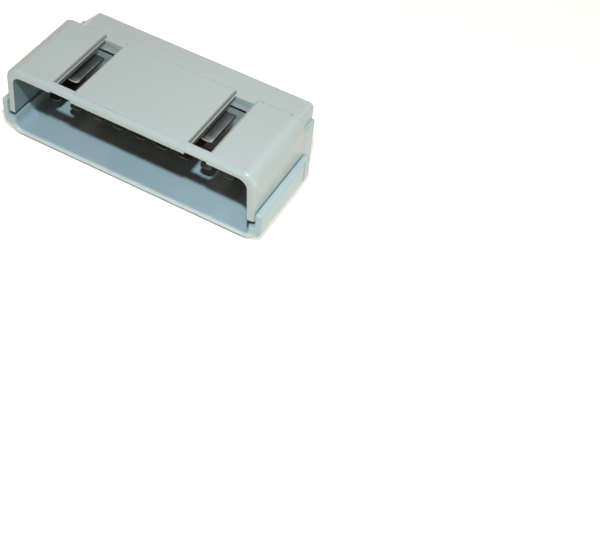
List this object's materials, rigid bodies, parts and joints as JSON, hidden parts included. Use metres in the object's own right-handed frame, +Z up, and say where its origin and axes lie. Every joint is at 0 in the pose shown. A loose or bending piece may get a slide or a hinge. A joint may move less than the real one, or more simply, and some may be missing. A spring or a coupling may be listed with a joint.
{
  "type": "header splice connector",
  "caption": "Two-part grey plastic shell with an open mouth and latch windows, around two rows of flat blades that splice bars join behind a contact block.",
  "frame": {"origin": "middle of the bounding box's underside, on the tray's bottom", "axes": "+X along the rows of blades, -Y out of the open mouth, +Z up from the tray to the cover's top"},
  "size_m": [0.059, 0.0248, 0.0168],
  "materials": {
    "shell_plastic": "satin moulded, light grey",
    "block_plastic": "satin moulded, grey",
    "blade_metal": "tin-plated, satin",
    "bar_metal": "bare, brushed"
  },
  "bodies": {
    "root": {"upper_cover": "shell_plastic", "lower_base": "shell_plastic", "contact_block": "block_plastic", "blade_upper_1": "blade_metal", "blade_upper_2": "blade_metal", "blade_upper_3": "blade_metal", "blade_upper_4": "blade_metal", "blade_upper_5": "blade_metal", "blade_upper_6": "blade_metal", "blade_upper_7": "blade_metal", "blade_upper_8": "blade_metal", "blade_upper_9": "blade_metal", "blade_upper_10": "blade_metal", "blade_lower_1": "blade_metal", "blade_lower_2": "blade_metal", "blade_lower_3": "blade_metal", "blade_lower_4": "blade_metal", "blade_lower_5": "blade_metal", "blade_lower_6": "blade_metal", "blade_lower_7": "blade_metal", "blade_lower_8": "blade_metal", "blade_lower_9": "blade_metal", "blade_lower_10": "blade_metal", "splice_bar_upper_left": "bar_metal", "splice_bar_upper_right": "bar_metal", "splice_bar_lower_left": "bar_metal", "splice_bar_lower_right": "bar_metal"}
  },
  "joints": []
}
